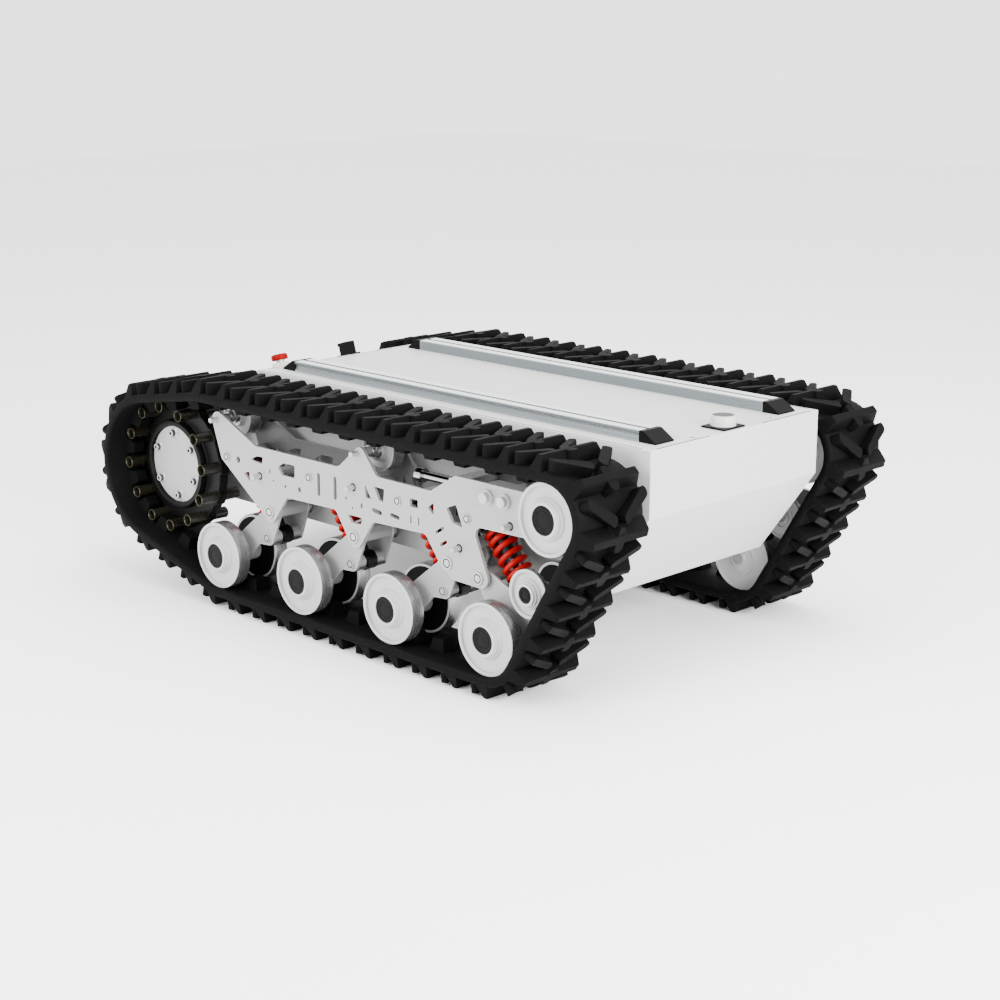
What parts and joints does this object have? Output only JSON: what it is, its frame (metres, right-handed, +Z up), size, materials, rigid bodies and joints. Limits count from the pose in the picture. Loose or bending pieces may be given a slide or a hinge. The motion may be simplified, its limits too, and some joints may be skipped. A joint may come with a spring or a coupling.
{
  "type": "tracked robot chassis",
  "caption": "Low sealed hull between two rubber tracks with lugs, on sprung swing arms with twin-disc road wheels, drive sprockets at the rear and slotted payload rails on the deck.",
  "frame": {"origin": "on the ground under the middle of the chassis, at the middle of its overall length and width", "axes": "+X forward towards the idlers and the front connector, +Y to the left, +Z up"},
  "size_m": [1.2948, 0.8, 0.4434],
  "materials": {
    "hull_paint": "satin white powder coat",
    "plate_paint": "satin white powder coat with bright cut edges",
    "belt_rubber": "matte moulded rubber",
    "wheel_alloy": "light satin aluminium",
    "carrier_black": "dark moulded carrier and pins",
    "arm_paint": "satin white powder coat",
    "spring_red": "glossy red coated steel",
    "polished_steel": "polished steel",
    "zinc_steel": "bright zinc",
    "rail_aluminium": "anodised extrusion",
    "black_plastic": "moulded black plastic",
    "white_plastic": "moulded off-white plastic",
    "red_plastic": "moulded red plastic",
    "motor_metal": "dark anodised",
    "battery_wrap": "shrink-wrapped cells"
  },
  "bodies": {
    "root": {"hull_tub": "hull_paint", "deck_plate": "hull_paint", "deck_screws": "polished_steel", "payload_rails": "rail_aluminium", "rail_end_caps": "black_plastic", "connector_flange": "black_plastic", "front_connector": "white_plastic", "estop_collar": "white_plastic", "rear_socket": "black_plastic", "battery_pack": "battery_wrap", "motor_controller": "motor_metal", "drive_motors": "motor_metal", "frame_fasteners": "zinc_steel", "left_track_belt": "belt_rubber", "left_outer_side_plate": "plate_paint", "left_inner_side_plate": "plate_paint", "left_shock_1": "spring_red", "left_shock_2": "spring_red", "left_shock_3": "spring_red", "left_shock_4": "spring_red", "right_track_belt": "belt_rubber", "right_outer_side_plate": "plate_paint", "right_inner_side_plate": "plate_paint", "right_shock_1": "spring_red", "right_shock_2": "spring_red", "right_shock_3": "spring_red", "right_shock_4": "spring_red"},
    "stop_button": {"estop_button": "red_plastic"},
    "left_sprocket": {"left_drive_sprocket": "carrier_black", "left_sprocket_hub": "wheel_alloy"},
    "left_idler_carriage": {"left_idler_yoke": "arm_paint", "left_tensioner_rod": "polished_steel"},
    "left_idler": {"left_idler_wheel": "wheel_alloy"},
    "left_roller_rear": {"left_return_roller_rear": "wheel_alloy"},
    "left_roller_middle": {"left_return_roller_middle": "wheel_alloy"},
    "left_arm_1": {"left_swing_arm_1": "arm_paint"},
    "left_wheel_1": {"left_road_wheel_1": "wheel_alloy"},
    "left_arm_2": {"left_swing_arm_2": "arm_paint"},
    "left_wheel_2": {"left_road_wheel_2": "wheel_alloy"},
    "left_arm_3": {"left_swing_arm_3": "arm_paint"},
    "left_wheel_3": {"left_road_wheel_3": "wheel_alloy"},
    "left_arm_4": {"left_swing_arm_4": "arm_paint"},
    "left_wheel_4": {"left_road_wheel_4": "wheel_alloy"},
    "left_guide": {"left_guide_wheel": "wheel_alloy"},
    "right_sprocket": {"right_drive_sprocket": "carrier_black", "right_sprocket_hub": "wheel_alloy"},
    "right_idler_carriage": {"right_idler_yoke": "arm_paint", "right_tensioner_rod": "polished_steel"},
    "right_idler": {"right_idler_wheel": "wheel_alloy"},
    "right_roller_rear": {"right_return_roller_rear": "wheel_alloy"},
    "right_roller_middle": {"right_return_roller_middle": "wheel_alloy"},
    "right_arm_1": {"right_swing_arm_1": "arm_paint"},
    "right_wheel_1": {"right_road_wheel_1": "wheel_alloy"},
    "right_arm_2": {"right_swing_arm_2": "arm_paint"},
    "right_wheel_2": {"right_road_wheel_2": "wheel_alloy"},
    "right_arm_3": {"right_swing_arm_3": "arm_paint"},
    "right_wheel_3": {"right_road_wheel_3": "wheel_alloy"},
    "right_arm_4": {"right_swing_arm_4": "arm_paint"},
    "right_wheel_4": {"right_road_wheel_4": "wheel_alloy"},
    "right_guide": {"right_guide_wheel": "wheel_alloy"}
  },
  "joints": [
    {"name": "stop_button_press", "type": "slide", "parent": "root", "child": "stop_button", "axis": [0.2918, 0, -0.9565], "range_m": [0, 0.005], "stiffness_N_per_m": 900, "springref_m": -0.004},
    {"name": "left_sprocket_spin", "type": "hinge", "parent": "root", "child": "left_sprocket", "pos_m": [-0.47968, 0.335, 0.233], "axis": [0, 1, 0], "continuous": true, "deforming": ["left_track_belt"]},
    {"name": "left_track_tension", "type": "slide", "parent": "root", "child": "left_idler_carriage", "axis": [1, 0, 0], "range_m": [-0.01, 0.01], "deforming": ["left_track_belt"]},
    {"name": "left_idler_spin", "type": "hinge", "parent": "left_idler_carriage", "child": "left_idler", "pos_m": [0.549, 0.335, 0.328], "axis": [0, 1, 0], "continuous": true, "deforming": ["left_track_belt"]},
    {"name": "left_roller_rear_spin", "type": "hinge", "parent": "root", "child": "left_roller_rear", "pos_m": [-0.322, 0.335, 0.3477], "axis": [0, 1, 0], "continuous": true, "deforming": ["left_track_belt"]},
    {"name": "left_roller_middle_spin", "type": "hinge", "parent": "root", "child": "left_roller_middle", "pos_m": [0.068, 0.335, 0.3477], "axis": [0, 1, 0], "continuous": true, "deforming": ["left_track_belt"]},
    {"name": "left_arm_1_swing", "type": "hinge", "parent": "root", "child": "left_arm_1", "pos_m": [-0.173, 0.305, 0.1985], "axis": [0, 1, 0], "range_deg": [0, 10], "stiffness_Nm_per_rad": 120, "springref_deg": -11.46, "deforming": ["left_shock_1", "left_track_belt"]},
    {"name": "left_wheel_1_spin", "type": "hinge", "parent": "left_arm_1", "child": "left_wheel_1", "pos_m": [-0.279, 0.335, 0.103], "axis": [0, 1, 0], "continuous": true, "deforming": ["left_track_belt"]},
    {"name": "left_arm_2_swing", "type": "hinge", "parent": "root", "child": "left_arm_2", "pos_m": [0.057, 0.305, 0.197], "axis": [0, 1, 0], "range_deg": [0, 10], "stiffness_Nm_per_rad": 120, "springref_deg": -11.46, "deforming": ["left_shock_2", "left_track_belt"]},
    {"name": "left_wheel_2_spin", "type": "hinge", "parent": "left_arm_2", "child": "left_wheel_2", "pos_m": [-0.047, 0.335, 0.103], "axis": [0, 1, 0], "continuous": true, "deforming": ["left_track_belt"]},
    {"name": "left_arm_3_swing", "type": "hinge", "parent": "root", "child": "left_arm_3", "pos_m": [0.29, 0.305, 0.1977], "axis": [0, 1, 0], "range_deg": [0, 10], "stiffness_Nm_per_rad": 120, "springref_deg": -11.46, "deforming": ["left_shock_3", "left_track_belt"]},
    {"name": "left_wheel_3_spin", "type": "hinge", "parent": "left_arm_3", "child": "left_wheel_3", "pos_m": [0.185, 0.335, 0.103], "axis": [0, 1, 0], "continuous": true, "deforming": ["left_track_belt"]},
    {"name": "left_arm_4_swing", "type": "hinge", "parent": "root", "child": "left_arm_4", "pos_m": [0.362, 0.305, 0.186], "axis": [0, -1, 0], "range_deg": [0, 10], "stiffness_Nm_per_rad": 120, "springref_deg": -11.46, "deforming": ["left_shock_4", "left_track_belt"]},
    {"name": "left_wheel_4_spin", "type": "hinge", "parent": "left_arm_4", "child": "left_wheel_4", "pos_m": [0.417, 0.335, 0.103], "axis": [0, 1, 0], "continuous": true, "deforming": ["left_track_belt"]},
    {"name": "left_guide_spin", "type": "hinge", "parent": "left_arm_4", "child": "left_guide", "pos_m": [0.4915, 0.335, 0.191], "axis": [0, 1, 0], "continuous": true, "deforming": ["left_track_belt"]},
    {"name": "right_sprocket_spin", "type": "hinge", "parent": "root", "child": "right_sprocket", "pos_m": [-0.47968, -0.335, 0.233], "axis": [0, 1, 0], "continuous": true, "deforming": ["right_track_belt"]},
    {"name": "right_track_tension", "type": "slide", "parent": "root", "child": "right_idler_carriage", "axis": [1, 0, 0], "range_m": [-0.01, 0.01], "deforming": ["right_track_belt"]},
    {"name": "right_idler_spin", "type": "hinge", "parent": "right_idler_carriage", "child": "right_idler", "pos_m": [0.549, -0.335, 0.328], "axis": [0, 1, 0], "continuous": true, "deforming": ["right_track_belt"]},
    {"name": "right_roller_rear_spin", "type": "hinge", "parent": "root", "child": "right_roller_rear", "pos_m": [-0.322, -0.335, 0.3477], "axis": [0, 1, 0], "continuous": true, "deforming": ["right_track_belt"]},
    {"name": "right_roller_middle_spin", "type": "hinge", "parent": "root", "child": "right_roller_middle", "pos_m": [0.068, -0.335, 0.3477], "axis": [0, 1, 0], "continuous": true, "deforming": ["right_track_belt"]},
    {"name": "right_arm_1_swing", "type": "hinge", "parent": "root", "child": "right_arm_1", "pos_m": [-0.173, -0.305, 0.1985], "axis": [0, 1, 0], "range_deg": [0, 10], "stiffness_Nm_per_rad": 120, "springref_deg": -11.46, "deforming": ["right_shock_1", "right_track_belt"]},
    {"name": "right_wheel_1_spin", "type": "hinge", "parent": "right_arm_1", "child": "right_wheel_1", "pos_m": [-0.279, -0.335, 0.103], "axis": [0, 1, 0], "continuous": true, "deforming": ["right_track_belt"]},
    {"name": "right_arm_2_swing", "type": "hinge", "parent": "root", "child": "right_arm_2", "pos_m": [0.057, -0.305, 0.197], "axis": [0, 1, 0], "range_deg": [0, 10], "stiffness_Nm_per_rad": 120, "springref_deg": -11.46, "deforming": ["right_shock_2", "right_track_belt"]},
    {"name": "right_wheel_2_spin", "type": "hinge", "parent": "right_arm_2", "child": "right_wheel_2", "pos_m": [-0.047, -0.335, 0.103], "axis": [0, 1, 0], "continuous": true, "deforming": ["right_track_belt"]},
    {"name": "right_arm_3_swing", "type": "hinge", "parent": "root", "child": "right_arm_3", "pos_m": [0.29, -0.305, 0.1977], "axis": [0, 1, 0], "range_deg": [0, 10], "stiffness_Nm_per_rad": 120, "springref_deg": -11.46, "deforming": ["right_shock_3", "right_track_belt"]},
    {"name": "right_wheel_3_spin", "type": "hinge", "parent": "right_arm_3", "child": "right_wheel_3", "pos_m": [0.185, -0.335, 0.103], "axis": [0, 1, 0], "continuous": true, "deforming": ["right_track_belt"]},
    {"name": "right_arm_4_swing", "type": "hinge", "parent": "root", "child": "right_arm_4", "pos_m": [0.362, -0.305, 0.186], "axis": [0, -1, 0], "range_deg": [0, 10], "stiffness_Nm_per_rad": 120, "springref_deg": -11.46, "deforming": ["right_shock_4", "right_track_belt"]},
    {"name": "right_wheel_4_spin", "type": "hinge", "parent": "right_arm_4", "child": "right_wheel_4", "pos_m": [0.417, -0.335, 0.103], "axis": [0, 1, 0], "continuous": true, "deforming": ["right_track_belt"]},
    {"name": "right_guide_spin", "type": "hinge", "parent": "right_arm_4", "child": "right_guide", "pos_m": [0.4915, -0.335, 0.191], "axis": [0, 1, 0], "continuous": true, "deforming": ["right_track_belt"]}
  ],
  "couplings": [
    {"joint": "left_idler_spin", "follows": "left_sprocket_spin", "ratio": 1.9941},
    {"joint": "left_roller_rear_spin", "follows": "left_sprocket_spin", "ratio": 2.8075},
    {"joint": "left_roller_middle_spin", "follows": "left_sprocket_spin", "ratio": 2.8075},
    {"joint": "left_wheel_1_spin", "follows": "left_sprocket_spin", "ratio": 1.9371},
    {"joint": "left_wheel_2_spin", "follows": "left_sprocket_spin", "ratio": 1.9371},
    {"joint": "left_wheel_3_spin", "follows": "left_sprocket_spin", "ratio": 1.9371},
    {"joint": "left_wheel_4_spin", "follows": "left_sprocket_spin", "ratio": 1.9371},
    {"joint": "left_guide_spin", "follows": "left_sprocket_spin", "ratio": 2.7505},
    {"joint": "right_idler_spin", "follows": "right_sprocket_spin", "ratio": 1.9941},
    {"joint": "right_roller_rear_spin", "follows": "right_sprocket_spin", "ratio": 2.8075},
    {"joint": "right_roller_middle_spin", "follows": "right_sprocket_spin", "ratio": 2.8075},
    {"joint": "right_wheel_1_spin", "follows": "right_sprocket_spin", "ratio": 1.9371},
    {"joint": "right_wheel_2_spin", "follows": "right_sprocket_spin", "ratio": 1.9371},
    {"joint": "right_wheel_3_spin", "follows": "right_sprocket_spin", "ratio": 1.9371},
    {"joint": "right_wheel_4_spin", "follows": "right_sprocket_spin", "ratio": 1.9371},
    {"joint": "right_guide_spin", "follows": "right_sprocket_spin", "ratio": 2.7505}
  ]
}
